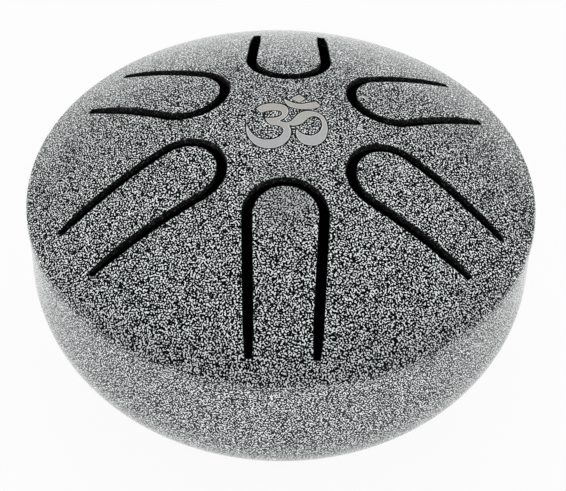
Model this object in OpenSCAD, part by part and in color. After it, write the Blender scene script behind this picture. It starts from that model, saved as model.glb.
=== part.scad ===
// Six-note steel tongue drum: a pressed dome with sprung tongues, welded on a pressed bowl
// that stands on three push-in rubber feet. Millimetres, +Z up, origin on the floor
// under the drum's axis. The longest tongue points to -Y, the player's side.

/* [Drum] */
// Outside diameter at the rim
drum_d = 94; // [80:1:120]
// Height of the dome above the rim
dome_rise = 17; // [13:0.5:22]
// Thickness of the steel sheet
sheet = 1.2; // [0.8:0.1:1.6]

/* [Rim and weld] */
// Height of the straight skirt under the dome, with its rounded edge
skirt_h = 1.5; // [1.2:0.1:4]
// Radius that rounds the outer edge of the rim
rim_round = 1; // [0.4:0.1:1.4]
// How far the skirt stands out over the bowl's wall
skirt_step = 0.35; // [0.1:0.05:0.6]
// Height of the weld bead between the skirt and the bowl
bead_h = 0.6; // [0.3:0.1:1.2]

/* [Bowl] */
// Height of the bowl's wall, from the weld down to the bottom corner
wall_h = 10.7; // [6:0.1:18]
// How far the wall draws in over its height
wall_draft = 0.4; // [0:0.1:1]
// Diameter of the flat base
base_d = 51.5; // [44:0.5:56]
// Diameter of the sound hole in the base
sound_hole_d = 10; // [6:0.5:24]

/* [Tongues] */
// Centre of the tongue pattern, to the right of the drum's axis
pattern_x = 0.85; // [-1:0.05:1]
// Centre of the tongue pattern, behind the drum's axis
pattern_y = 2.7; // [0:0.1:3]
// Radius of the circle that the slots reach in to, on their centre lines
tip_circle_r = 14.5; // [13.5:0.1:16]
// Distance between the two legs' centre lines at a tongue's tip
leg_gap_tip = 13.9; // [11:0.1:14.2]
// Distance between the two legs' centre lines at a tongue's root
leg_gap_root = 12.1; // [9:0.1:13]
// Width of a slot
slot_w = 1.8; // [1:0.1:2.4]
// Width of a slot at its square ends
slot_end_w = 1.2; // [0.8:0.1:1.8]
// Length over which a slot narrows to its ends
slot_taper_l = 4.3; // [2:0.1:8]
// Distance that the root of tongue 1, the longest, stays inside the rim's radius
root_gap_1 = 1.3; // [1:0.1:4]
// The same distance for tongue 2
root_gap_2 = 3.3; // [1:0.1:8]
// The same distance for tongue 3
root_gap_3 = 5.1; // [1:0.1:10]
// The same distance for tongue 4
root_gap_4 = 7.9; // [3:0.1:12]
// The same distance for tongue 5
root_gap_5 = 8.9; // [3:0.1:12]
// The same distance for tongue 6, the shortest
root_gap_6 = 11.2; // [5:0.1:14]

/* [Feet] */
// Diameter of a foot's pad
pad_d = 9; // [6:0.5:10]
// Height of a foot's pad under the base
pad_h = 3; // [2:0.5:6]
// Radius that rounds the pad's lower edge
pad_round = 1; // [0.4:0.1:1.6]
// Distance from the edge of the flat base to a pad
foot_inset = 1.75; // [0.5:0.25:3]
// Diameter of the neck that passes through the base
neck_d = 4.4; // [3:0.1:5]
// Diameter of the barb that holds the foot from inside
barb_d = 6; // [5.4:0.1:7]
// Height of the barb
barb_h = 2.4; // [1.5:0.1:4]

/* [Hidden] */
$fn = 128;
// Clearance round a foot's neck in its hole
neck_clear = 0.1;
// Hairline at a tongue's root, where the real sheet bends instead
root_hairline = 0.03;
// Flat band round the barb before it tapers, and the barb's blunt top
barb_band_share = 1 / 4;
barb_top_share = 1 / 2;
// Overrun of every cut
over = 1;
// Number of steps in a small rounded edge
round_steps = 6;
// Colours of the speckled coat, the bare weld and the rubber
coat_colour = [0.45, 0.48, 0.5];
weld_colour = [0.35, 0.37, 0.39];
rubber_colour = [0.06, 0.06, 0.06];

root_gaps = [root_gap_1, root_gap_2, root_gap_3, root_gap_4, root_gap_5, root_gap_6];
tongue_count = len(root_gaps);
foot_count = 3;

// Radii of the drum and its bowl
drum_r = drum_d / 2;
wall_top_r = drum_r - skirt_step;
wall_low_r = wall_top_r - wall_draft;
base_r = base_d / 2;
corner_r = wall_low_r - base_r;
foot_circle_r = base_r - foot_inset - pad_d / 2;

// Reach of each tongue, from the pattern's centre to its root
reaches = [for (gap = root_gaps) drum_r - gap];

// Levels, from the floor up
base_z = pad_h;
corner_z = base_z + corner_r;
wall_top_z = corner_z + wall_h;
skirt_low_z = wall_top_z + bead_h;
rim_z = skirt_low_z + skirt_h;
apex_z = rim_z + dome_rise;

// Ball that the dome is a cap of
ball_r = (drum_r * drum_r + dome_rise * dome_rise) / (2 * dome_rise);
ball_z = apex_z - ball_r;

// Circle that rounds the rim: it touches the ball from inside and the skirt
edge_x = drum_r - rim_round;
edge_z = ball_z + sqrt(pow(ball_r - rim_round, 2) - edge_x * edge_x);
edge_turn = atan2(edge_z - ball_z, edge_x);
touch_x = ball_r * cos(edge_turn);
touch_z = ball_z + ball_r * sin(edge_turn);

// Tongues run from the lowest note in front to the highest behind, left and right in turn
function tongue_side(k) = k % 2 == 0 ? -1 : 1;
function tongue_angle(k) = 270 + tongue_side(k) * floor(k / 2) * 360 / tongue_count;
function foot_angle(k) = 270 + (k - 0.5) * 360 / foot_count;

// Half the distance between a slot's centre lines, at x from the pattern's centre
tip_centre_x = tip_circle_r + leg_gap_tip / 2;
function leg_y(reach, x) =
    let (along = (x - tip_centre_x) / (reach - tip_centre_x))
    (leg_gap_tip + (leg_gap_root - leg_gap_tip) * along) / 2;

// Outline of a tongue: side is 1 for the slot's outer edge and -1 for the tongue's own edge
module tongue_outline(reach, side, end_x) {
    taper_x = reach - slot_taper_l;
    tip_half = (leg_gap_tip + side * slot_w) / 2;
    taper_half = leg_y(reach, taper_x) + side * slot_w / 2;
    root_half = leg_y(reach, reach) + side * slot_end_w / 2;
    end_half = root_half + (taper_half - root_half) * (reach - end_x) / slot_taper_l;
    translate([tip_centre_x, 0])
        circle(r = tip_half);
    polygon([
        [tip_centre_x, -tip_half], [taper_x, -taper_half], [end_x, -end_half],
        [end_x, end_half], [taper_x, taper_half], [tip_centre_x, tip_half]
    ]);
}

// Puts a tongue's outline at its place in the pattern
module at_tongue(k) {
    translate([pattern_x, pattern_y, 0])
        rotate([0, 0, tongue_angle(k)])
            children();
}

// Space under the dome's outer face, down to the skirt's lower edge
module dome_outer() {
    rotate_extrude() {
        polygon([
            [0, skirt_low_z], [drum_r, skirt_low_z], [drum_r, edge_z],
            [edge_x, edge_z], [touch_x, touch_z], [0, touch_z]
        ]);
        intersection() {
            translate([0, ball_z])
                circle(r = ball_r);
            translate([0, touch_z])
                square([drum_r, dome_rise]);
        }
        intersection() {
            translate([edge_x, edge_z])
                circle(r = rim_round);
            polygon([
                [edge_x, edge_z], [edge_x + 2 * rim_round, edge_z],
                [edge_x + 2 * rim_round * cos(edge_turn), edge_z + 2 * rim_round * sin(edge_turn)]
            ]);
        }
    }
}

// Hollow under the dome
module dome_inner() {
    rotate_extrude()
        intersection() {
            translate([0, ball_z])
                circle(r = ball_r - sheet);
            translate([0, skirt_low_z - over])
                square([drum_r - sheet, apex_z - skirt_low_z + over]);
        }
}

// Dome pressed from sheet, with no slots yet
module dome() {
    difference() {
        dome_outer();
        dome_inner();
    }
}

// Dome with its rim, open where the tongues and their slots are
module top_shell() {
    color(coat_colour)
        difference() {
            dome();
            for (k = [1 : tongue_count])
                at_tongue(k)
                    translate([0, 0, skirt_low_z])
                        linear_extrude(height = apex_z - skirt_low_z + over)
                            tongue_outline(reaches[k - 1], 1, reaches[k - 1]);
        }
}

// One tongue: a strip of the dome between two slots, free at its round tip
module tongue(k) {
    color(coat_colour)
        intersection() {
            dome();
            at_tongue(k)
                translate([0, 0, skirt_low_z])
                    linear_extrude(height = apex_z - skirt_low_z + over)
                        tongue_outline(reaches[k - 1], -1, reaches[k - 1] - root_hairline);
        }
}

// Space inside the bowl's face that lies inset within its outer one
module bowl_space(inset, top_z) {
    rotate_extrude() {
        translate([0, base_z + inset])
            square([base_r, corner_z - base_z - inset]);
        intersection() {
            translate([base_r, corner_z])
                circle(r = corner_r - inset);
            translate([base_r, base_z])
                square([corner_r, corner_r]);
        }
        polygon([
            [0, corner_z], [wall_low_r - inset, corner_z],
            [wall_top_r - inset + wall_draft * (top_z - wall_top_z) / wall_h, top_z], [0, top_z]
        ]);
    }
}

// Places a foot's hole or body on the base
module at_foot(k) {
    rotate([0, 0, foot_angle(k)])
        translate([foot_circle_r, 0, 0])
            children();
}

// Bowl with its sound hole and the three holes for the feet
module bottom_shell() {
    color(coat_colour)
        difference() {
            bowl_space(0, wall_top_z);
            bowl_space(sheet, wall_top_z + over);
            translate([0, 0, base_z - over])
                cylinder(d = sound_hole_d, h = sheet + 2 * over);
            for (k = [1 : foot_count])
                at_foot(k)
                    translate([0, 0, base_z - over])
                        cylinder(d = neck_d + 2 * neck_clear, h = sheet + 2 * over);
        }
}

// Bead that closes the joint: level with the bowl's wall, and halfway out to the skirt above
module weld_seam() {
    color(weld_colour)
        rotate_extrude()
            polygon([
                [wall_top_r - sheet, wall_top_z], [wall_top_r, wall_top_z],
                [wall_top_r + skirt_step / 2, skirt_low_z], [wall_top_r - sheet, skirt_low_z]
            ]);
}

// Push-in foot: a pad under the base, a neck through it and a barb inside
module foot(k) {
    pad_r = pad_d / 2;
    barb_r = barb_d / 2;
    neck_top_z = pad_h + sheet;
    lower_edge = [
        for (i = [0 : round_steps])
            let (turn = 90 * i / round_steps)
            [pad_r - pad_round + pad_round * sin(turn), pad_round - pad_round * cos(turn)]
    ];
    color(rubber_colour)
        at_foot(k)
            rotate_extrude()
                polygon(concat([[0, 0]], lower_edge, [
                    [pad_r, pad_h], [neck_d / 2, pad_h], [neck_d / 2, neck_top_z],
                    [barb_r, neck_top_z], [barb_r, neck_top_z + barb_h * barb_band_share],
                    [barb_r * barb_top_share, neck_top_z + barb_h], [0, neck_top_z + barb_h]
                ]));
}

top_shell();
bottom_shell();
weld_seam();
tongue(1);  // tongue_1
tongue(2);  // tongue_2
tongue(3);  // tongue_3
tongue(4);  // tongue_4
tongue(5);  // tongue_5
tongue(6);  // tongue_6
foot(1);  // foot_1
foot(2);  // foot_2
foot(3);  // foot_3
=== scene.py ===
"""A six-note steel tongue drum: its sheet, coat, engraved sign and rubber feet, built over the
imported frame."""

import math

import bpy
from mathutils import Matrix, Vector
from mathutils.kdtree import KDTree


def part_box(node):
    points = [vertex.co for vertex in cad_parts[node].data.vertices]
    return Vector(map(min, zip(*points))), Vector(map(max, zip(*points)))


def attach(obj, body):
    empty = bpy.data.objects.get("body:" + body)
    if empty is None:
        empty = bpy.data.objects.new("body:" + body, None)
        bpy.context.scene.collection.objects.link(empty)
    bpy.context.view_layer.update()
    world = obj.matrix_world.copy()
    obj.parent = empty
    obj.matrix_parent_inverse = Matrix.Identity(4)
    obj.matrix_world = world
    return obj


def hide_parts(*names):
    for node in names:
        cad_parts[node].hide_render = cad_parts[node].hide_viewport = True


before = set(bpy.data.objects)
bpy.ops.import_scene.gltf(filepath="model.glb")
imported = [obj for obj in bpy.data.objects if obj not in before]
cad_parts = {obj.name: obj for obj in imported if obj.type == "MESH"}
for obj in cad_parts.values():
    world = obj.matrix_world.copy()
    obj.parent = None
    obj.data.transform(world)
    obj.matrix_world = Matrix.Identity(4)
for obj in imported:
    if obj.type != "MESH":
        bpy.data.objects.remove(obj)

bl_info = {
    "name": "Steel tongue drum",
    "version": (1, 0, 0),
    "blender": (4, 5, 0),
    "location": "3D View > Sidebar > Drum",
    "description": "Builds the sheet, the speckled coat and the feet of a small steel tongue drum",
    "category": "Add Mesh",
}

SHELL_LOW, SHELL_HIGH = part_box("top_shell")
BOWL_LOW, BOWL_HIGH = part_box("bottom_shell")
TONGUES = (1, 2, 3, 4, 5, 6)
FEET = (1, 2, 3)

# The Om sign's outline on the dome, seen from above, in millimetres from the drum's axis.
# A third value of 1 marks a sharp corner.
OM_BODY = (
    (-4.9, 6.7, 1), (-4.2, 7.5, 0), (-3.2, 8.05, 0), (-1.0, 8.15, 0), (0.45, 7.45, 0),
    (0.97, 6.2, 0), (0.75, 4.7, 0), (0.1, 3.75, 0), (-0.55, 3.15, 1), (0.5, 2.75, 0),
    (1.35, 3.05, 0), (2.05, 4.0, 0), (2.9, 5.35, 0), (4.0, 6.15, 0), (5.3, 6.3, 0),
    (6.6, 5.85, 0), (7.6, 4.6, 0), (8.1, 2.7, 0), (8.1, 0.4, 0), (7.45, -1.6, 0),
    (6.3, -2.75, 0), (4.9, -3.02, 0), (3.6, -2.55, 0), (2.75, -1.4, 0), (2.42, 0.0, 0),
    (2.55, 1.2, 1), (3.1, 0.3, 0), (4.1, -0.35, 0), (5.4, -0.35, 0), (6.45, 0.45, 0),
    (7.05, 1.8, 0), (7.1, 3.3, 0), (6.6, 4.5, 0), (5.7, 4.9, 0), (4.8, 4.4, 0), (4.1, 3.5, 0),
    (3.4, 2.55, 0), (2.4, 1.98, 0), (1.15, 1.95, 1), (1.5, 0.7, 0), (1.42, -0.8, 0),
    (0.8, -2.3, 0), (-0.5, -3.6, 0), (-2.3, -4.08, 0), (-4.3, -3.55, 0), (-5.7, -2.0, 0),
    (-6.5, 0.1, 0), (-6.62, 2.6, 1), (-6.1, 1.0, 0), (-5.3, -0.5, 0), (-4.1, -1.55, 0),
    (-2.6, -1.85, 0), (-1.1, -1.45, 0), (-0.1, -0.4, 0), (0.1, 0.8, 0), (-0.6, 1.65, 0),
    (-2.2, 2.05, 1), (-2.85, 2.85, 0), (-3.25, 3.97, 1), (-1.6, 4.05, 0), (-0.5, 4.55, 0),
    (-0.15, 5.2, 0), (-0.5, 5.9, 0), (-1.6, 6.12, 0), (-2.9, 5.95, 0), (-4.0, 5.4, 1),
)
OM_CRESCENT = (
    (0.08, 9.85, 1), (0.35, 8.6, 0), (1.1, 7.4, 0), (2.5, 6.8, 0), (4.4, 6.78, 0), (5.9, 7.25, 0),
    (6.9, 8.1, 1), (5.98, 9.35, 1), (4.7, 8.8, 0), (3.3, 8.35, 0), (2.0, 8.5, 0), (1.0, 9.1, 0),
)
OM_DIAMOND = ((2.9, 11.2, 1), (1.4, 9.85, 1), (2.95, 8.6, 1), (4.15, 10.0, 1))


def mm(value):
    """Metres from millimetres."""
    return value / 1000


# Places of the finishes among a sheet piece's materials; the third is the slot walls' coat, drawn
# near-black as painted shade
COAT, PRIMER, SHADED_SLOT = 0, 1, 2
# Share of the sheet's thickness that a face lies in from the outside, when it is an inner one
INNER = 0.9
# Steps of a whole turn of the sheet parts, and of the half turn round a slot's tip
TURN_STEPS, TIP_STEPS = 256, 44
# How far a cutting solid reaches past the sheet
OVERSHOOT = mm(1)
# Rings that part the bowl's flat base and a foot's underside into shorter faces
BASE_RINGS = [mm(r) for r in (23.5, 20.5, 17.5, 14.5, 12, 9, 7)]
PAD_RING = mm(1.6)

# The coat: the noise cell that gives its veins and the grain of its flakes, the height in the
# noise at which silver starts and is full, and how much lower it starts on the front rim, where
# shade is painted
VEIN_CELL, FLAKE = mm(0.3), mm(0.2)
SILVER_START, SILVER_FULL = 0.116, 0.126
FRONT_RIM_RICHER = -0.085
# Where the coat's painted light and shade and its fine patch change: heights on the drum, depth
# towards the front, and distance from a spot
# Fewer veins down the dome paint shade there, more on the wall paint light there
PAINTED_SHADE_DOWN_DOME = (("From Min", mm(46)), ("From Max", mm(41)), ("To Min", 0.006), ("To Max", 0.02))
PAINTED_LIGHT_ON_WALL = (
    ("From Min", mm(33.5)), ("From Max", mm(36.5)), ("To Min", -0.02), ("To Max", 0.02)
)
# The front rim's greyer veins are painted shade, for the slopes that face the front
PAINTED_SHADE_RIM_ABOVE = (("From Min", mm(43)), ("From Max", mm(37)))
PAINTED_SHADE_RIM_BELOW = (("From Min", mm(34)), ("From Max", mm(36.5)))
PAINTED_SHADE_RIM_FRONT = (("From Min", mm(-14)), ("From Max", mm(-34)), ("To Max", 0.6))
PATCH_BEFORE_TIP = mm(3)
PATCH_AWAY = (("From Min", mm(10)), ("From Max", mm(2.5)))

# Light of the room by the height it comes from: strong at the sides, weak from above. Gloss sees
# a dark room.
ROOM_LIGHT = (("From Min", 0.45), ("From Max", 0.75), ("To Min", 1.64), ("To Max", 0.37))
DARK_ROOM = 0.03
# The picture's width in pixels and the sensor's in millimetres, and where the drum's apex falls
# from the picture's middle, in pixels
PICTURE_W, SENSOR_W = 566, 36
APEX_PX = (-0.45, 113.3)


def linear(hex_colour):
    """Linear colour from an sRGB hex value."""
    parts = [int(hex_colour[i : i + 2], 16) / 255 for i in (1, 3, 5)]
    return (*(c / 12.92 if c <= 0.04045 else ((c + 0.055) / 1.055) ** 2.4 for c in parts), 1.0)


def size(name, description, millimetres):
    """A length that a user can change."""
    return bpy.props.FloatProperty(
        name=name,
        description=description,
        default=mm(millimetres),
        min=0,
        precision=5,
        unit="LENGTH",
    )


def colour(name, description, hex_colour):
    """A colour that a user can change."""
    return bpy.props.FloatVectorProperty(
        name=name,
        description=description,
        default=linear(hex_colour),
        size=4,
        min=0,
        max=1,
        subtype="COLOR",
    )


class DrumSizes(bpy.types.PropertyGroup):
    """Sizes of the sheet parts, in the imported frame's own values."""

    rim_r: size("Rim radius", "Radius of the dome at its skirt", SHELL_HIGH.x * 1000)
    skirt_low: size("Skirt's lower edge", "Height of the skirt's lower edge", SHELL_LOW.z * 1000)
    apex: size("Apex", "Height of the dome's highest point", SHELL_HIGH.z * 1000)
    rise: size("Rise", "Height of the dome above its rim", 17)
    sheet: size("Sheet", "Thickness of the steel sheet", 1.2)
    rim_round: size("Rim rounding", "Radius that rounds the rim's outer edge", 1)
    slot_round: size("Slot edge rounding", "Width of the coat's soft edge along a slot", 0.12)
    wall_top: size("Wall's top", "Height of the bowl's upper edge", BOWL_HIGH.z * 1000)
    wall_r: size("Wall radius", "Radius of the bowl at its upper edge", BOWL_HIGH.x * 1000)
    wall_draft: size("Wall draft", "How far the wall draws in down to its corner", 0.4)
    base: size("Base", "Height of the bowl's flat base", BOWL_LOW.z * 1000)
    corner: size("Corner radius", "Radius of the bowl's lower corner", 20.5)
    hole_r: size("Sound hole radius", "Radius of the sound hole", 5)
    hole_round: size("Sound hole rounding", "Radius of the hole's soft outer edge", 0.4)
    pattern_x: size("Pattern, right", "Centre of the tongue pattern, right of the axis", 0.85)
    pattern_y: size("Pattern, back", "Centre of the tongue pattern, behind the axis", 2.7)
    tip_circle: size("Tip circle", "Radius that the slots' centre lines reach in to", 14.5)
    gap_tip: size("Legs at the tip", "Distance of a slot's legs at the tip", 13.9)
    gap_root: size("Legs at the root", "Distance of a slot's legs at the root", 12.1)
    slot_w: size("Slot width", "Width of a slot", 1.8)
    slot_end_w: size("Slot end width", "Width of a slot at its square ends", 1.2)
    slot_taper: size("Slot taper", "Length over which a slot narrows", 4.3)
    hairline: size("Hairline", "How far a tongue's root stays inside its slot's ends", 0.03)
    root_play: size(
        "Root play", "Gap that lets a tongue flex at its root, where the real sheet runs on", 0.012
    )
    root_gaps: bpy.props.FloatVectorProperty(
        name="Root gaps",
        description="How far each tongue's root stays inside the rim's radius",
        default=[mm(gap) for gap in (1.3, 3.3, 5.1, 7.9, 8.9, 11.2)],
        size=6,
        precision=5,
        unit="LENGTH",
    )


class SignSizes(bpy.types.PropertyGroup):
    """Sizes of the engraved sign."""

    crown_r: size("Crown", "Radius of the finely parted crown round the sign", 12.6)
    depth: size("Depth", "Depth of the bared steel under the coat's face", 0.07)
    burnt: size("Burnt edge", "Width of the burnt coat round the sign", 0.23)
    # The bright edge is a painted highlight along the sign's edge
    bright: size("Bright edge", "Width of the brighter line along the sign's edge", 0.2)
    reach: size("Reach", "Distance that the marks of the edge reach", 0.5)


class FootSizes(bpy.types.PropertyGroup):
    """Sizes of a push-in foot."""

    circle: size("Foot circle", "Distance of the feet from the axis", 19.5)
    pad_r: size("Pad radius", "Radius of the pad under the base", 4.5)
    pad_h: size("Pad height", "Height of the pad under the base", 3)
    pad_round: size("Pad rounding", "Radius of the pad's lower edge", 1)
    pad_top_round: size("Pad's upper rounding", "Radius of the pad's upper edge", 0.2)
    neck_r: size("Neck radius", "Radius of the neck in the base", 2.2)
    neck_clear: size("Clearance", "Clearance round the neck", 0.1)
    barb_r: size("Barb radius", "Radius of the barb inside the bowl", 3)
    barb_h: size("Barb height", "Height of the barb", 2.4)


class DrumColours(bpy.types.PropertyGroup):
    """Colours of the drum's finishes."""

    vein: colour("Vein", "Silver veins of the powder coat", "#f0f6f8")
    pit: colour("Pit", "Black ground between the veins", "#0a0f0f")
    # This black is also the ground of the slot walls' painted shade
    primer: colour("Primer", "Black primer inside the drum and its slots", "#161717")
    bare: colour("Bare steel", "Steel bared by the engraving", "#d1d4d5")
    warm: colour("Tarnish", "Warm tarnish on the bared steel", "#d3cec0")
    # Painted highlight along the sign's edge
    bright: colour("Bright edge", "Steel along the sign's edge", "#ffffff")
    burnt: colour("Burnt edge", "Coat burnt at the engraving's edge", "#171614")
    rubber: colour("Rubber", "Moulded rubber of the feet", "#191a1a")


class StageSizes(bpy.types.PropertyGroup):
    """The camera and the floor."""

    elevation: bpy.props.FloatProperty(
        name="Elevation",
        description="Camera's height over the horizon",
        default=math.radians(43.27),
        subtype="ANGLE",
    )
    roll: bpy.props.FloatProperty(
        name="Roll", description="Camera's roll", default=math.radians(1.18), subtype="ANGLE"
    )
    distance: size("Distance", "Distance of the camera from the apex", 638.4)
    focal: bpy.props.FloatProperty(
        name="Focal length",
        description="Lens, in millimetres on a 36 mm frame",
        default=224.0,
        subtype="DISTANCE_CAMERA",
    )
    floor_r: size("Floor radius", "Radius of the floor", 2500)
    sweep_h: size("Sweep height", "Height of the low sweep round the floor", 220)


def only(piece):
    """Makes a piece the only selected one, in object mode."""
    bpy.ops.object.select_all(action="DESELECT")
    piece.select_set(True)
    bpy.context.view_layer.objects.active = piece


def chain(name, points, closed=False):
    """A line of vertices, extruded one after another; it stays in edit mode, all selected."""
    bpy.ops.object.select_all(action="DESELECT")
    bpy.ops.mesh.primitive_plane_add(size=mm(1), location=points[0])
    piece = bpy.context.object
    piece.name = piece.data.name = name
    bpy.ops.object.transform_apply(location=True, rotation=False, scale=False)
    bpy.ops.object.mode_set(mode="EDIT")
    bpy.ops.mesh.select_mode(type="VERT")
    bpy.ops.mesh.select_all(action="SELECT")
    bpy.ops.mesh.merge(type="CENTER")
    for a, b in zip(points, points[1:]):
        step = {"value": Vector(b) - Vector(a)}
        bpy.ops.mesh.extrude_vertices_move(TRANSFORM_OT_translate=step)
    bpy.ops.mesh.select_all(action="SELECT")
    if closed:
        bpy.ops.mesh.edge_face_add()
    return piece


def turned(name, profile, steps, closed=False):
    """A solid turned round the Z axis from a profile of (radius, height) points."""
    piece = chain(name, [(r, 0, z) for r, z in profile], closed)
    if closed:
        bpy.ops.mesh.delete(type="ONLY_FACE")
        bpy.ops.mesh.select_all(action="SELECT")
    bpy.ops.mesh.spin(steps=steps, angle=math.tau, center=(0, 0, 0), axis=(0, 0, 1))
    bpy.ops.mesh.select_all(action="SELECT")
    bpy.ops.mesh.remove_doubles(threshold=mm(0.0005))
    bpy.ops.mesh.normals_make_consistent(inside=False)
    bpy.ops.object.mode_set(mode="OBJECT")
    return piece


def prism(name, outline, low, high):
    """A solid extruded upwards from an outline of (x, y) points."""
    piece = chain(name, [(x, y, low) for x, y in outline], closed=True)
    bpy.ops.mesh.extrude_region_move(TRANSFORM_OT_translate={"value": (0, 0, high - low)})
    bpy.ops.mesh.select_all(action="SELECT")
    bpy.ops.mesh.normals_make_consistent(inside=False)
    bpy.ops.object.mode_set(mode="OBJECT")
    return piece


def copy_of(piece, name):
    """A copy with its own mesh."""
    twin = piece.copy()
    twin.data = piece.data.copy()
    twin.name = twin.data.name = name
    bpy.context.collection.objects.link(twin)
    return twin


def joined(name, pieces):
    """Several pieces as one object."""
    only(pieces[0])
    for piece in pieces:
        piece.select_set(True)
    bpy.ops.object.join()
    pieces[0].name = pieces[0].data.name = name
    return pieces[0]


def cut(piece, tool, operation="DIFFERENCE"):
    """Cuts a piece by a tool, which is used up; its materials stay on the faces that it makes."""
    only(piece)
    modifier = piece.modifiers.new("Cut", "BOOLEAN")
    modifier.operation = operation
    modifier.object = tool
    modifier.solver = "EXACT"
    modifier.material_mode = "TRANSFER"
    bpy.ops.object.modifier_apply(modifier=modifier.name)
    bpy.data.objects.remove(tool)
    return piece


def finish(piece, body, slot, *nodes):
    """Smooths a piece, and ties it to its body and the nodes that it stands for; the finish isn't
    used.
    """
    only(piece)
    bpy.ops.object.shade_smooth_by_angle(angle=math.radians(35))
    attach(piece, body)
    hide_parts(*nodes)


def arc(centre, radius, start, end, steps):
    """Points of an arc from one angle to another, in radians."""
    turns = [start + (end - start) * i / steps for i in range(steps + 1)]
    return [(centre[0] + radius * math.cos(t), centre[1] + radius * math.sin(t)) for t in turns]


def dome_ball(sizes):
    """Radius of the ball that the dome is a cap of, and its centre's height."""
    radius = (sizes.rim_r**2 + sizes.rise**2) / (2 * sizes.rise)
    return radius, sizes.apex - radius


def dome_profile(sizes):
    """Half section of the pressed dome: over the outer face, round the rim and back inside."""
    ball_r, ball_z = dome_ball(sizes)
    edge_r = sizes.rim_r - sizes.rim_round
    edge_z = ball_z + math.sqrt((ball_r - sizes.rim_round) ** 2 - edge_r**2)
    edge_turn = math.atan2(edge_z - ball_z, edge_r)
    inner_r = sizes.rim_r - sizes.sheet
    inner_ball = ball_r - sizes.sheet
    inner_turn = math.acos(inner_r / inner_ball)
    crown_turn = math.acos(bpy.context.scene.drum_sign.crown_r / ball_r)
    top = arc((0, ball_z), ball_r, math.pi / 2, crown_turn, 60)
    top += arc((0, ball_z), ball_r, crown_turn, edge_turn, 50)[1:]
    edge = arc((edge_r, edge_z), sizes.rim_round, edge_turn, 0, 10)
    inside = arc((0, ball_z), inner_ball, inner_turn, math.pi / 2, 24)
    top[0], inside[-1] = (0, top[0][1]), (0, inside[-1][1])
    skirt = [(sizes.rim_r, sizes.skirt_low), (inner_r, sizes.skirt_low)]
    return top + edge[1:] + skirt + inside


def tongue_angle(k):
    """Direction of a tongue: the lowest note in front, the rest left and right in turn."""
    side = 1 if k % 2 else -1
    return math.radians(270 + side * (k // 2) * 60)


def tongue_reach(sizes, k):
    """Distance from the pattern's centre to the ends of a tongue's slot."""
    return sizes.rim_r - sizes.root_gaps[k - 1]


def slot_line(sizes, k, side, end_x):
    """Line along a slot: side 1 is its outer edge, -1 the tongue's own edge, 0 the middle."""
    reach = tongue_reach(sizes, k)
    tip_x = sizes.tip_circle + sizes.gap_tip / 2
    taper_x = reach - sizes.slot_taper

    def half(x, width):
        along = (x - tip_x) / (reach - tip_x)
        return (sizes.gap_tip + (sizes.gap_root - sizes.gap_tip) * along + side * width) / 2

    taper_half = half(taper_x, sizes.slot_w)
    root_half = half(reach, sizes.slot_end_w)
    end_half = root_half + (taper_half - root_half) * (reach - end_x) / sizes.slot_taper
    tip_half = (sizes.gap_tip + side * sizes.slot_w) / 2
    tip = arc((tip_x, 0), tip_half, 1.5 * math.pi, 0.5 * math.pi, TIP_STEPS)
    start = [(end_x, -end_half), (taper_x, -taper_half)]
    return start + tip + [(taper_x, taper_half), (end_x, end_half)]


def pattern_prism(name, sizes, k, outline):
    """Upright solid from the skirt to above the dome, turned to a tongue's place in the pattern."""
    c, s = math.cos(tongue_angle(k)), math.sin(tongue_angle(k))
    points = [
        (sizes.pattern_x + c * x - s * y, sizes.pattern_y + s * x + c * y) for x, y in outline
    ]
    return prism(f"{name}_{k}", points, sizes.skirt_low, sizes.apex + OVERSHOOT)


def slot_cutter(sizes, k):
    """Solid of one slot, through the sheet."""
    reach = tongue_reach(sizes, k)
    outline = slot_line(sizes, k, 1, reach) + slot_line(sizes, k, -1, reach)[::-1]
    return pattern_prism("slot", sizes, k, outline)


def tongue_block(sizes, k, play=0):
    """Solid that parts one tongue from the dome, along the middle of its slot."""
    end_x = tongue_reach(sizes, k) - sizes.hairline - play
    block = pattern_prism("block", sizes, k, slot_line(sizes, k, 0, end_x))
    block.data.materials.append(primer())
    return block


def soften_slots(piece, sizes):
    """Bevels the outer edge along each slot; the slot walls' painted shade covers the bevel too."""
    only(piece)
    bpy.ops.object.mode_set(mode="EDIT")
    bpy.ops.mesh.select_mode(type="EDGE")
    bpy.ops.mesh.select_all(action="DESELECT")
    bpy.ops.object.mode_set(mode="OBJECT")
    ball_r, ball_z = dome_ball(sizes)
    centre = Vector((0, 0, ball_z))
    faces_at = {}
    for face in piece.data.polygons:
        for key in face.edge_keys:
            faces_at.setdefault(key, []).append(face.material_index)
    for edge in piece.data.edges:
        low = min((piece.data.vertices[v].co - centre).length for v in edge.vertices)
        outside = low > ball_r - sizes.sheet / 2
        edge.select = outside and sorted(faces_at[edge.key]) == [COAT, SHADED_SLOT]
    bpy.ops.object.mode_set(mode="EDIT")
    bpy.ops.mesh.bevel(
        offset=sizes.slot_round, segments=2, clamp_overlap=False, material=SHADED_SLOT
    )
    bpy.ops.object.mode_set(mode="OBJECT")


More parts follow.
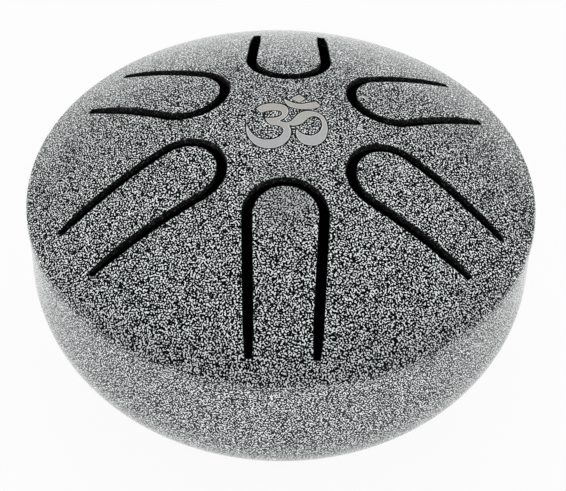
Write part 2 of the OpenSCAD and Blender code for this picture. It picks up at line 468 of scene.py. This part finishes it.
def sign_prism(name, low, high):
    """Upright solid of the sign's three outlines."""
    bpy.ops.object.select_all(action="DESELECT")
    bpy.ops.curve.primitive_bezier_circle_add(radius=mm(1))
    line = bpy.context.object.data
    line.dimensions = "2D"
    line.fill_mode = "BOTH"
    line.resolution_u = 8
    line.extrude = (high - low) / 2
    line.splines.clear()
    for outline in (OM_BODY, OM_CRESCENT, OM_DIAMOND):
        spline = line.splines.new("BEZIER")
        spline.bezier_points.add(len(outline) - 1)
        spline.use_cyclic_u = True
        for point, (x, y, corner) in zip(spline.bezier_points, outline):
            point.co = (mm(x), mm(y), 0)
            point.handle_left_type = point.handle_right_type = "VECTOR" if corner else "AUTO"
    bpy.ops.object.convert(target="MESH")
    piece = bpy.context.object
    piece.name = piece.data.name = name
    piece.location = (0, 0, (low + high) / 2)
    only(piece)
    bpy.ops.object.transform_apply(location=True, rotation=False, scale=False)
    bpy.ops.object.mode_set(mode="EDIT")
    bpy.ops.mesh.select_all(action="SELECT")
    bpy.ops.mesh.remove_doubles(threshold=mm(0.001))
    bpy.ops.mesh.normals_make_consistent(inside=False)
    bpy.ops.object.mode_set(mode="OBJECT")
    return piece


def sign_cutter(sizes, sign, wall, floor):
    """Solid that engraves the sign: upright sides, and a finely parted floor that follows the
    dome."""
    ball_r, ball_z = dome_ball(sizes)
    turn = math.asin(sign.crown_r / ball_r)
    cap = arc((0, ball_z), ball_r - sign.depth, math.pi / 2, math.pi / 2 - turn, 50)
    cap[0] = (0, cap[0][1])
    low = sizes.apex - mm(6)
    cap = turned("sign_floor", cap + [(cap[-1][0], low), (0, low)], 200)
    cap.data.materials.append(floor)
    tool = sign_prism("sign_cutter", sizes.apex - mm(4), sizes.apex + OVERSHOOT)
    tool.data.materials.append(wall)
    return cut(tool, cap)


def mark_edge(piece, wall, sign):
    """Writes on each point how near it lies to the sign's engraved edge: 1 on the edge, 0 at the
    reach and beyond."""
    mesh = piece.data
    slot = mesh.materials.find(wall.name)
    edge = set()
    for face in mesh.polygons:
        if face.material_index == slot:
            edge.update(face.vertices)
    tree = KDTree(len(edge))
    for v in edge:
        tree.insert(mesh.vertices[v].co, v)
    tree.balance()
    marks = mesh.attributes.new("near_edge", "FLOAT", "POINT")
    for v, vertex in enumerate(mesh.vertices):
        if math.hypot(vertex.co.x, vertex.co.y) < sign.crown_r:
            marks.data[v].value = max(0, 1 - tree.find(vertex.co)[2] / sign.reach)


def base_radius(sizes):
    """Radius of the bowl's flat base, where its corner starts."""
    return sizes.wall_r - sizes.wall_draft - sizes.corner


def bowl_profile(sizes):
    """Closed half section of the bowl: down the wall, round the corner, in to the sound hole's
    soft edge and back inside."""
    corner_z = sizes.base + sizes.corner
    centre = (base_radius(sizes), corner_z)
    wall_h = sizes.wall_top - corner_z
    wall = [
        (sizes.wall_r - sizes.wall_draft * i / 8, sizes.wall_top - wall_h * i / 8)
        for i in range(8)
    ]
    outer = arc(centre, sizes.corner, 0, -math.pi / 2, 36)
    inner = arc(centre, sizes.corner - sizes.sheet, -math.pi / 2, 0, 20)
    rings = [(r, sizes.base) for r in BASE_RINGS]
    middle = (sizes.hole_r + sizes.hole_round, sizes.base + sizes.hole_round)
    hole = arc(middle, sizes.hole_round, -math.pi / 2, -math.pi, 4)
    hole.append((sizes.hole_r, sizes.base + sizes.sheet))
    inside = [(sizes.wall_r - sizes.sheet, sizes.wall_top)]
    return wall + outer + rings + hole + inner + inside


def inside_bowl(sizes, spot):
    """Whether a spot of the bowl lies on its inner face."""
    base_r, corner_z = base_radius(sizes), sizes.base + sizes.corner
    across, up = math.hypot(spot.x, spot.y), spot.z
    if across <= base_r:
        return up > sizes.base + sizes.sheet * INNER
    if up > corner_z:
        return across < sizes.wall_r - sizes.sheet * INNER
    return math.hypot(across - base_r, corner_z - up) < sizes.corner - sizes.sheet / 2


def foot_place(foot, k):
    """Place of a foot on its circle, seen from above."""
    turn = math.radians(270 + (k - 0.5) * 120)
    return foot.circle * math.cos(turn), foot.circle * math.sin(turn)


def foot_holes(sizes, foot):
    """Solids that drill the bowl's base for the feet."""
    low, high = sizes.base - OVERSHOOT, sizes.base + sizes.sheet + OVERSHOOT
    holes = []
    for k in FEET:
        ring = arc(foot_place(foot, k), foot.neck_r + foot.neck_clear, 0, math.tau, 48)[:-1]
        holes.append(prism(f"foot_hole_{k}", ring, low, high))
    return joined("foot_holes", holes)


def foot_profile(sizes, foot):
    """Half section of a foot: the pad with its two rounded edges, the neck and the barb."""
    inside = sizes.base + sizes.sheet
    low, high = foot.pad_round, foot.pad_top_round
    edge = arc((foot.pad_r - low, low), low, -math.pi / 2, 0, 8)
    shoulder = arc((foot.pad_r - high, foot.pad_h - high), high, 0, math.pi / 2, 3)
    barb = [
        (foot.neck_r, foot.pad_h),
        (foot.neck_r, inside),
        (foot.barb_r, inside),
        (foot.barb_r, inside + foot.barb_h / 4),
        (foot.barb_r / 2, inside + foot.barb_h),
        (0, inside + foot.barb_h),
    ]
    return [(0, 0), (PAD_RING, 0)] + edge + shoulder + barb


def add_node(tree, kind, inputs=(), **settings):
    """Adds a node with its settings; inputs are (socket, value or another node's output)."""
    node = tree.nodes.new(kind)
    for key, value in settings.items():
        setattr(node, key, value)
    for key, value in inputs:
        if isinstance(value, bpy.types.NodeSocket):
            tree.links.new(value, node.inputs[key])
        else:
            node.inputs[key].default_value = value
    return node


def new_material(name):
    """An empty material, its tree, and the object coordinates that its patterns follow."""
    material = bpy.data.materials.new(name)
    material.use_nodes = True
    tree = material.node_tree
    tree.nodes.clear()
    return material, tree, add_node(tree, "ShaderNodeTexCoord").outputs["Object"]


def shade(tone, strength):
    """A colour made darker or lighter."""
    return (*(min(1, c * strength) for c in tone[:3]), 1)


def blend_of(tree, share, low, high):
    """Output of a node that goes from one colour to another."""
    sockets = [(0, share), (6, low), (7, high)]
    return add_node(tree, "ShaderNodeMix", sockets, data_type="RGBA").outputs[2]


def close_material(tree, shader):
    """Joins a shader to the output."""
    add_node(tree, "ShaderNodeOutputMaterial", [("Surface", shader.outputs[0])])


def edge_line(tree, width):
    """Share of a line of some width along the sign's edge, which fades over half that width."""
    near = add_node(tree, "ShaderNodeAttribute", attribute_name="near_edge").outputs["Fac"]
    part = width / bpy.context.scene.drum_sign.reach
    return add_node(
        tree,
        "ShaderNodeMapRange",
        [("Value", near), ("From Min", 1 - 1.25 * part), ("From Max", 1 - 0.75 * part)],
        interpolation_type="SMOOTHSTEP",
    ).outputs["Result"]


def vein_height(tree, place, turn):
    """Fine noise less its own average close by, which leaves even worms with no larger patches.
    The turn keeps the noise's own grid away from the drum's level and upright lines."""
    place = add_node(tree, "ShaderNodeMapping", [("Vector", place), ("Rotation", turn)]).outputs[0]
    noise = (("Scale", 1 / VEIN_CELL), ("Detail", 0.0))
    height = add_node(tree, "ShaderNodeTexNoise", [("Vector", place), *noise]).outputs["Fac"]
    for corner in ((1, 1, 1), (1, -1, -1), (-1, 1, -1), (-1, -1, 1)):
        step = [0.53 * VEIN_CELL * c for c in corner]
        beside = add_node(
            tree, "ShaderNodeVectorMath", [(0, place), (1, step)], operation="ADD"
        ).outputs[0]
        near = add_node(tree, "ShaderNodeTexNoise", [("Vector", beside), *noise]).outputs["Fac"]
        height = add_node(
            tree, "ShaderNodeMath", [(0, near), (1, -0.25), (2, height)], operation="MULTIPLY_ADD"
        ).outputs[0]
    return height


def fine_patch(tree, place):
    """Share of the patch at the front tongue's tip, where the veins are drawn finer and greyer."""
    sizes = bpy.context.scene.drum_sizes
    tip = (sizes.pattern_x, sizes.pattern_y - sizes.tip_circle - PATCH_BEFORE_TIP, 0)
    flat = add_node(
        tree, "ShaderNodeVectorMath", [(0, place), (1, (1, 1, 0))], operation="MULTIPLY"
    ).outputs[0]
    away = add_node(
        tree, "ShaderNodeVectorMath", [(0, flat), (1, tip)], operation="DISTANCE"
    ).outputs["Value"]
    return add_node(
        tree,
        "ShaderNodeMapRange",
        [("Value", away), *PATCH_AWAY],
        interpolation_type="SMOOTHSTEP",
    ).outputs["Result"]


def front_rim_painted_shade(tree, axes):
    """Share of the front rim, whose veins are drawn greyer as painted shade: less light falls on
    the slopes that face the front.
    """
    above, below, front = (
        add_node(tree, "ShaderNodeMapRange", [("Value", axes[axis]), *change]).outputs["Result"]
        for axis, change in (("Z", PAINTED_SHADE_RIM_ABOVE), ("Z", PAINTED_SHADE_RIM_BELOW), ("Y", PAINTED_SHADE_RIM_FRONT))
    )
    rim = add_node(tree, "ShaderNodeMath", [(0, above), (1, below)], operation="MINIMUM")
    rim = add_node(
        tree, "ShaderNodeMath", [(0, rim.outputs[0]), (1, front)], operation="MULTIPLY"
    )
    return rim.outputs[0]


def painted_light_and_shade_shift(tree, axes, rim):
    """How much higher the noise has to rise for silver to show: a little more down the dome, which
    paints shade there, less on the wall, which paints light there, and less on the front rim, where
    the closer veins go with that rim's painted shade."""
    dome, wall = (
        add_node(tree, "ShaderNodeMapRange", [("Value", axes["Z"]), *change]).outputs["Result"]
        for change in (PAINTED_SHADE_DOWN_DOME, PAINTED_LIGHT_ON_WALL)
    )
    lean = add_node(tree, "ShaderNodeMath", [(0, dome), (1, wall)], operation="MINIMUM").outputs[0]
    return add_node(
        tree,
        "ShaderNodeMath",
        [(0, rim), (1, FRONT_RIM_RICHER), (2, lean)],
        operation="MULTIPLY_ADD",
    ).outputs[0]


def speckled_coat(colours):
    """Silver-vein powder coat, sprayed and stoved: silver veins float up over a black ground and
    set as a glossy labyrinth, with a vein and a pit in about every 0.8 mm. The veins are a little
    sparser down the dome, as painted shade, and fuller on the wall, as painted light. On the front
    rim they are closer and greyer, as painted shade, and at the front tongue's tip finer and
    greyer."""
    material, tree, place = new_material("silver_vein_powder_coat")
    axes = add_node(tree, "ShaderNodeSeparateXYZ", [("Vector", place)]).outputs
    fine, rim = fine_patch(tree, place), front_rim_painted_shade(tree, axes)
    first = vein_height(tree, place, (-0.468, 0.867, 0.2))
    second = vein_height(tree, place, (0.766, 0.641, 1.8))
    height = add_node(tree, "ShaderNodeMath", [(0, first), (1, second)], operation="ADD").outputs[0]
    flakes = add_node(
        tree, "ShaderNodeTexNoise", [("Vector", place), ("Scale", 1 / FLAKE), ("Detail", 0.0)]
    ).outputs["Fac"]
    # In the fine patch the flakes' own grain breaks up the veins
    mist = add_node(
        tree, "ShaderNodeMath", [(0, flakes), (1, 0.6), (2, -0.1)], operation="MULTIPLY_ADD"
    ).outputs[0]
    height = add_node(
        tree, "ShaderNodeMath", [(0, mist), (1, fine), (2, height)], operation="MULTIPLY_ADD"
    ).outputs[0]
    height = add_node(
        tree, "ShaderNodeMath", [(0, height), (1, painted_light_and_shade_shift(tree, axes, rim))], operation="SUBTRACT"
    ).outputs[0]
    # A vein has a crisp edge, and a soft one in the fine patch
    full = add_node(
        tree, "ShaderNodeMath", [(0, fine), (1, 0.3), (2, SILVER_FULL)], operation="MULTIPLY_ADD"
    ).outputs[0]
    vein = add_node(
        tree,
        "ShaderNodeMapRange",
        [("Value", height), ("From Min", SILVER_START), ("From Max", full)],
        interpolation_type="SMOOTHSTEP",
    ).outputs["Result"]
    silver = blend_of(tree, flakes, shade(colours.vein, 0.88), shade(colours.vein, 1.1))
    # Greyer veins: painted shade on the front rim, and the fine patch at the front tongue's tip
    dull = add_node(
        tree, "ShaderNodeMath", [(0, fine), (1, 0.55), (2, rim)], operation="MULTIPLY_ADD"
    ).outputs[0]
    silver = blend_of(tree, dull, silver, shade(colours.vein, 0.45))
    paint = blend_of(tree, vein, tuple(colours.pit), silver)
    burnt = edge_line(tree, bpy.context.scene.drum_sign.burnt)
    paint = blend_of(tree, burnt, paint, tuple(colours.burnt))
    rough = add_node(
        tree, "ShaderNodeMapRange", [("Value", vein), ("To Min", 0.08), ("To Max", 0.14)]
    )
    relief = add_node(
        tree, "ShaderNodeBump", [("Height", vein), ("Strength", 0.25), ("Distance", mm(0.02))]
    )
    shader = add_node(
        tree,
        "ShaderNodeBsdfPrincipled",
        [
            ("Base Color", paint),
            ("Roughness", rough.outputs["Result"]),
            ("Normal", relief.outputs["Normal"]),
            ("IOR", 1.3),
            ("Sheen Weight", 0.4),
            ("Sheen Roughness", 0.35),
        ],
    )
    close_material(tree, shader)
    return material


def slot_coat_painted_shade(colours):
    """The coat on the slot walls, drawn as painted shade: a black ground with a few dull veins on
    it.
    """
    material, tree, place = new_material("slot_coat_painted_shade")
    grain = add_node(
        tree, "ShaderNodeTexNoise", [("Vector", place), ("Scale", 1 / VEIN_CELL), ("Detail", 0.0)]
    ).outputs["Fac"]
    vein = add_node(
        tree, "ShaderNodeMapRange", [("Value", grain), ("From Min", 0.66), ("From Max", 0.76)]
    ).outputs["Result"]
    # The slot walls' painted shade: black ground with dimmed veins
    paint = blend_of(tree, vein, tuple(colours.primer), shade(colours.vein, 0.15))
    shader = add_node(
        tree,
        "ShaderNodeBsdfPrincipled",
        [("Base Color", paint), ("Roughness", 0.6), ("IOR", 1.45), ("Specular IOR Level", 0.15)],
    )
    close_material(tree, shader)
    return material


def black_primer(colours):
    """Black primer, sprayed thin on the cut edges and inside: a dull near-black with the uneven
    grain of about 0.5 mm that a thin spray leaves."""
    material, tree, place = new_material("black_primer")
    grain = add_node(
        tree, "ShaderNodeTexNoise", [("Vector", place), ("Scale", 1 / mm(0.5)), ("Detail", 2.0)]
    ).outputs["Fac"]
    paint = blend_of(tree, grain, shade(colours.primer, 0.6), shade(colours.primer, 1.4))
    shader = add_node(
        tree,
        "ShaderNodeBsdfPrincipled",
        [("Base Color", paint), ("Roughness", 0.75), ("IOR", 1.45), ("Specular IOR Level", 0.2)],
    )
    close_material(tree, shader)
    return material


def bared_steel(colours):
    """Mild steel bared by engraving: a matt pale grey with a faint warm tarnish towards the back,
    and a painted highlight in a fine line along the edge. The engraver's own lines are too fine to
    show, so its grain is drawn at 0.25 mm."""
    material, tree, place = new_material("bared_mild_steel")
    grain = add_node(
        tree, "ShaderNodeTexNoise", [("Vector", place), ("Scale", 1 / mm(0.25)), ("Detail", 2.0)]
    ).outputs["Fac"]
    tint = add_node(
        tree, "ShaderNodeTexNoise", [("Vector", place), ("Scale", 1 / mm(2.5)), ("Detail", 1.0)]
    ).outputs["Fac"]
    back = add_node(tree, "ShaderNodeSeparateXYZ", [("Vector", place)]).outputs["Y"]
    warmth = add_node(
        tree,
        "ShaderNodeMapRange",
        [("Value", back), ("From Min", mm(-1)), ("From Max", mm(7)), ("To Max", 1.6)],
    ).outputs["Result"]
    warmth = add_node(
        tree, "ShaderNodeMath", [(0, warmth), (1, tint)], operation="MULTIPLY"
    ).outputs[0]
    paint = blend_of(tree, warmth, tuple(colours.bare), tuple(colours.warm))
    worn = add_node(
        tree, "ShaderNodeMapRange", [("Value", grain), ("To Min", 0.78), ("To Max", 1.22)]
    ).outputs["Result"]
    paint = add_node(
        tree, "ShaderNodeVectorMath", [(0, paint), ("Scale", worn)], operation="SCALE"
    ).outputs[0]
    # Painted highlight in a fine line along the sign's edge
    line = edge_line(tree, bpy.context.scene.drum_sign.bright)
    paint = blend_of(tree, line, paint, tuple(colours.bright))
    shader = add_node(
        tree,
        "ShaderNodeBsdfPrincipled",
        [("Base Color", paint), ("Roughness", 0.55), ("Metallic", 0.3)],
    )
    close_material(tree, shader)
    return material


def burnt_edge(colours):
    """Powder coat burnt along the engraving: a sooty, dull line. Soot is too fine to show, so its
    grain is drawn at 0.3 mm."""
    material, tree, place = new_material("burnt_coat")
    grain = add_node(
        tree, "ShaderNodeTexNoise", [("Vector", place), ("Scale", 1 / mm(0.3)), ("Detail", 2.0)]
    ).outputs["Fac"]
    paint = blend_of(tree, grain, shade(colours.burnt, 0.5), shade(colours.burnt, 2))
    shader = add_node(
        tree,
        "ShaderNodeBsdfPrincipled",
        [("Base Color", paint), ("Roughness", 0.7), ("IOR", 1.45)],
    )
    close_material(tree, shader)
    return material


def foot_rubber(colours):
    """Moulded black rubber: soft sheen over an uneven grain. The mould's own grain is too fine to
    show, so it is drawn at 0.35 mm."""
    material, tree, place = new_material("moulded_rubber")
    grain = add_node(
        tree, "ShaderNodeTexNoise", [("Vector", place), ("Scale", 1 / mm(0.35)), ("Detail", 3.0)]
    ).outputs["Fac"]
    paint = blend_of(tree, grain, shade(colours.rubber, 0.7), shade(colours.rubber, 1.4))
    rough = add_node(
        tree, "ShaderNodeMapRange", [("Value", grain), ("To Min", 0.5), ("To Max", 0.72)]
    )
    relief = add_node(
        tree, "ShaderNodeBump", [("Height", grain), ("Strength", 0.4), ("Distance", mm(0.03))]
    )
    shader = add_node(
        tree,
        "ShaderNodeBsdfPrincipled",
        [
            ("Base Color", paint),
            ("Roughness", rough.outputs["Result"]),
            ("Normal", relief.outputs["Normal"]),
            ("IOR", 1.52),
        ],
    )
    close_material(tree, shader)
    return material


def studio_white(base_r):
    """Matt white paper: near white to the camera and in gloss, with the drum's shadow kept. Under
    the base no light reaches it, so it isn't brightened there."""
    material, tree, place = new_material("white_paper_sweep")
    path = add_node(tree, "ShaderNodeLightPath")
    seen = 0
    for ray in ("Is Camera Ray", "Is Glossy Ray", "Is Transmission Ray"):
        seen = add_node(
            tree, "ShaderNodeMath", [(0, path.outputs[ray]), (1, seen)], operation="MAXIMUM"
        ).outputs[0]
    away = add_node(tree, "ShaderNodeVectorMath", [(0, place)], operation="LENGTH").outputs["Value"]
    share = add_node(
        tree,
        "ShaderNodeMapRange",
        [("Value", away), ("From Min", base_r), ("From Max", base_r + mm(5)), ("To Max", 0.93)],
        interpolation_type="SMOOTHSTEP",
    ).outputs["Result"]
    share = add_node(
        tree, "ShaderNodeMath", [(0, seen), (1, share)], operation="MULTIPLY"
    ).outputs[0]
    grain = add_node(
        tree, "ShaderNodeTexNoise", [("Vector", place), ("Scale", 3.0), ("Detail", 1.0)]
    ).outputs["Fac"]
    paper = blend_of(tree, grain, linear("#ebebeb"), linear("#f0f0f0"))
    matt = add_node(tree, "ShaderNodeBsdfDiffuse", [("Color", paper)]).outputs[0]
    bright = add_node(tree, "ShaderNodeEmission", [("Strength", 1.0)]).outputs[0]
    mixed = add_node(tree, "ShaderNodeMixShader", [(0, share), (1, matt), (2, bright)])
    close_material(tree, mixed)
    return material


def material_of(name, maker):
    """A material by name, made at its first use."""
    return bpy.data.materials.get(name) or maker(bpy.context.scene.drum_colours)


def coat():
    """The speckled coat, which all the sheet parts share."""
    return material_of("silver_vein_powder_coat", speckled_coat)


def primer():
    """The black inside and on the cut edges, which all the sheet parts share."""
    return material_of("black_primer", black_primer)


def lamp(name, place, spread, power):
    """A soft box that faces the drum."""
    data = bpy.data.lights.new(name, "AREA")
    data.shape = "RECTANGLE"
    data.size, data.size_y = spread
    data.energy = power
    piece = bpy.data.objects.new(name, data)
    piece.location = place
    facing = Vector((0, 0, mm(30))) - Vector(place)
    piece.rotation_euler = facing.to_track_quat("-Z", "Y").to_euler()
    bpy.context.collection.objects.link(piece)
    return piece


class DRUM_OT_slotted_dome(bpy.types.Operator):
    """Turn the pressed dome and cut its six slots."""

    bl_idname = "drum.slotted_dome"
    bl_label = "Slotted dome"

    def execute(self, context):
        sizes = context.scene.drum_sizes
        dome = turned("slotted_dome", dome_profile(sizes), TURN_STEPS)
        slot_shade_coat = material_of("slot_coat_painted_shade", slot_coat_painted_shade)
        for material in (coat(), primer(), slot_shade_coat):
            dome.data.materials.append(material)
        ball_r, ball_z = dome_ball(sizes)
        for face in dome.data.polygons:
            spot = face.center
            inside = (spot - Vector((0, 0, ball_z))).length < ball_r - sizes.sheet / 2
            under_cap = math.hypot(spot.x, spot.y) < sizes.rim_r - sizes.sheet * INNER
            face.material_index = PRIMER if inside and under_cap else COAT
        slots = joined("slots", [slot_cutter(sizes, k) for k in TONGUES])
        slots.data.materials.append(slot_shade_coat)
        cut(dome, slots)
        return {"FINISHED"}


class DRUM_OT_tongues(bpy.types.Operator):
    """Part the six tongues from the slotted dome."""

    bl_idname = "drum.tongues"
    bl_label = "Tongues"

    def execute(self, context):
        sizes = context.scene.drum_sizes
        dome = bpy.data.objects["slotted_dome"]
        for k in TONGUES:
            tongue = copy_of(dome, f"tongue_{k}_sheet")
            cut(tongue, tongue_block(sizes, k, sizes.root_play), "INTERSECT")
            soften_slots(tongue, sizes)
            finish(tongue, f"tongue_{k}", "speckled_coat", f"tongue_{k}")
        return {"FINISHED"}


class DRUM_OT_top_shell(bpy.types.Operator):
    """Leave the dome with its rim, and engrave the sign at its crown."""

    bl_idname = "drum.top_shell"
    bl_label = "Top shell"

    def execute(self, context):
        sizes, sign = context.scene.drum_sizes, context.scene.drum_sign
        shell = bpy.data.objects["slotted_dome"]
        shell.name = shell.data.name = "top_shell_sheet"
        cut(shell, joined("blocks", [tongue_block(sizes, k) for k in TONGUES]))
        burnt = material_of("burnt_coat", burnt_edge)
        bare = material_of("bared_mild_steel", bared_steel)
        cut(shell, sign_cutter(sizes, sign, burnt, bare))
        soften_slots(shell, sizes)
        mark_edge(shell, burnt, sign)
        finish(shell, "drum", "speckled_coat", "top_shell")
        return {"FINISHED"}


class DRUM_OT_bottom_shell(bpy.types.Operator):
    """Turn the bowl with its sound hole, and drill it for the feet."""

    bl_idname = "drum.bottom_shell"
    bl_label = "Bottom shell"

    def execute(self, context):
        sizes, foot = context.scene.drum_sizes, context.scene.drum_foot
        bowl = turned("bowl_sheet", bowl_profile(sizes), TURN_STEPS, closed=True)
        bowl.data.materials.append(coat())
        bowl.data.materials.append(primer())
        for face in bowl.data.polygons:
            face.material_index = PRIMER if inside_bowl(sizes, face.center) else COAT
        holes = foot_holes(sizes, foot)
        holes.data.materials.append(primer())
        cut(bowl, holes)
        finish(bowl, "drum", "speckled_coat", "bottom_shell")
        return {"FINISHED"}


class DRUM_OT_weld_seam(bpy.types.Operator):
    """Turn the coated weld bead between the skirt and the bowl."""

    bl_idname = "drum.weld_seam"
    bl_label = "Weld seam"

    def execute(self, context):
        sizes = context.scene.drum_sizes
        out = (sizes.rim_r - sizes.wall_r) / 2
        height = sizes.skirt_low - sizes.wall_top
        face = [
            (sizes.wall_r + out * math.sin(math.pi / 2 * t), sizes.wall_top + height * t)
            for t in (0, 0.2, 0.4, 0.6, 0.8, 1)
        ]
        inside = sizes.wall_r - sizes.sheet
        section = face + [(inside, sizes.skirt_low), (inside, sizes.wall_top)]
        bead = turned("weld_bead", section, TURN_STEPS, closed=True)
        bead.data.materials.append(coat())
        finish(bead, "drum", "weld_bead", "weld_seam")
        return {"FINISHED"}


class DRUM_OT_feet(bpy.types.Operator):
    """Turn one push-in foot and copy it to its three places."""

    bl_idname = "drum.feet"
    bl_label = "Feet"

    def execute(self, context):
        sizes, foot = context.scene.drum_sizes, context.scene.drum_foot
        first = turned("foot_1_rubber", foot_profile(sizes, foot), 64)
        first.data.materials.append(material_of("moulded_rubber", foot_rubber))
        feet = [first] + [copy_of(first, f"foot_{k}_rubber") for k in FEET[1:]]
        for k, piece in zip(FEET, feet):
            piece.location = (*foot_place(foot, k), 0)
            only(piece)
            bpy.ops.object.transform_apply(location=True, rotation=False, scale=False)
            finish(piece, "drum", "foot_rubber", f"foot_{k}")
        return {"FINISHED"}


class DRUM_OT_stage(bpy.types.Operator):
    """Lay the floor with its low sweep, and place the lamps and the camera."""

    bl_idname = "drum.stage"
    bl_label = "Stage"

    def execute(self, context):
        stage, sizes = context.scene.drum_stage, context.scene.drum_sizes
        bpy.ops.object.select_all(action="DESELECT")
        bpy.ops.mesh.primitive_circle_add(vertices=96, radius=stage.floor_r, fill_type="NGON")
        floor = bpy.context.object
        floor.name = floor.data.name = "studio_floor"
        bpy.ops.object.mode_set(mode="EDIT")
        bpy.ops.mesh.select_all(action="SELECT")
        bpy.ops.mesh.region_to_loop()
        bpy.ops.mesh.extrude_edges_move(TRANSFORM_OT_translate={"value": (0, 0, stage.sweep_h)})
        bpy.ops.object.mode_set(mode="OBJECT")
        floor.data.materials.append(studio_white(base_radius(sizes)))
        self.world(context)
        # The strips light only the gloss along the rim, and the fill only what is matt
        for name, x, power in (("strip_left", -1.2, 6), ("strip_right", 1.2, 4)):
            strip = lamp(name, (x, 0.12, 0.22), (1.0, 0.3), power)
            strip.visible_diffuse = False
        lamp("fill_behind", (0, 0.8, 1.1), (1.0, 1.0), 2.7).visible_glossy = False
        self.camera(context, stage, Vector((0, 0, sizes.apex)))
        context.scene.view_settings.view_transform = "Standard"
        return {"FINISHED"}

    def world(self, context):
        """White to the camera, a room with pale sides to what is matt, and dark to gloss."""
        world = bpy.data.worlds.new("studio")
        context.scene.world = world
        world.use_nodes = True
        tree = world.node_tree
        tree.nodes.clear()
        path = add_node(tree, "ShaderNodeLightPath")
        way = add_node(tree, "ShaderNodeTexCoord").outputs["Generated"]
        up = add_node(tree, "ShaderNodeSeparateXYZ", [("Vector", way)]).outputs["Z"]
        room = add_node(
            tree,
            "ShaderNodeMapRange",
            [("Value", up), *ROOM_LIGHT],
            interpolation_type="SMOOTHSTEP",
        ).outputs["Result"]
        level = add_node(
            tree,
            "ShaderNodeMath",
            [(0, path.outputs["Is Diffuse Ray"]), (1, room), (2, path.outputs["Is Camera Ray"])],
            operation="MULTIPLY_ADD",
        ).outputs[0]
        level = add_node(
            tree, "ShaderNodeMath", [(0, level), (1, DARK_ROOM)], operation="MAXIMUM"
        ).outputs[0]
        sky = add_node(
            tree, "ShaderNodeBackground", [("Color", (1, 1, 1, 1)), ("Strength", level)]
        )
        add_node(tree, "ShaderNodeOutputWorld", [("Surface", sky.outputs[0])])

    def camera(self, context, stage, apex):
        """The camera stands in front of the drum, and looks past its apex as the picture does."""
        focal_px = stage.focal / SENSOR_W * PICTURE_W
        back = Vector((0, -math.cos(stage.elevation), math.sin(stage.elevation)))
        right = Vector((1, 0, 0))
        facing = Matrix((right, back.cross(right), back)).transposed()
        aim = Vector((*APEX_PX, -focal_px)).rotation_difference(Vector((0, 0, -1))).to_matrix()
        turn = (facing @ Matrix.Rotation(stage.roll, 3, "Z") @ aim).to_quaternion()
        data = bpy.data.cameras.new("camera")
        data.lens = stage.focal
        data.sensor_width = SENSOR_W
        data.clip_start, data.clip_end = 0.01, 20
        camera = bpy.data.objects.new("camera", data)
        camera.matrix_world = Matrix.LocRotScale(apex + back * stage.distance, turn, None)
        context.collection.objects.link(camera)
        context.scene.camera = camera


class DRUM_PT_panel(bpy.types.Panel):
    """Lists the drum's operators and sizes in the sidebar."""

    bl_idname = "DRUM_PT_panel"
    bl_label = "Steel tongue drum"
    bl_space_type = "VIEW_3D"
    bl_region_type = "UI"
    bl_category = "Drum"

    def draw(self, context):
        for operator in OPERATORS:
            self.layout.operator(operator.bl_idname)
        for group in GROUPS:
            settings = getattr(context.scene, group)
            for key in settings.bl_rna.properties.keys():
                if key not in ("rna_type", "name"):
                    self.layout.prop(settings, key)


GROUPS = {
    "drum_sizes": DrumSizes,
    "drum_sign": SignSizes,
    "drum_foot": FootSizes,
    "drum_colours": DrumColours,
    "drum_stage": StageSizes,
}
OPERATORS = (
    DRUM_OT_slotted_dome,
    DRUM_OT_tongues,
    DRUM_OT_top_shell,
    DRUM_OT_bottom_shell,
    DRUM_OT_weld_seam,
    DRUM_OT_feet,
    DRUM_OT_stage,
)


def register():
    """Registers the classes and hangs their settings on the scene."""
    for item in (*GROUPS.values(), *OPERATORS, DRUM_PT_panel):
        bpy.utils.register_class(item)
    for name, group in GROUPS.items():
        setattr(bpy.types.Scene, name, bpy.props.PointerProperty(type=group))


def unregister():
    """Takes the settings and the classes away again."""
    for name in GROUPS:
        delattr(bpy.types.Scene, name)
    for item in reversed((*GROUPS.values(), *OPERATORS, DRUM_PT_panel)):
        bpy.utils.unregister_class(item)


def main():
    """Builds the drum and its stage."""
    register()
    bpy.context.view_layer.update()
    bpy.ops.drum.slotted_dome()
    bpy.ops.drum.tongues()
    bpy.ops.drum.top_shell()
    bpy.ops.drum.bottom_shell()
    bpy.ops.drum.weld_seam()
    bpy.ops.drum.feet()
    bpy.ops.drum.stage()


if __name__ == "__main__":
    main()
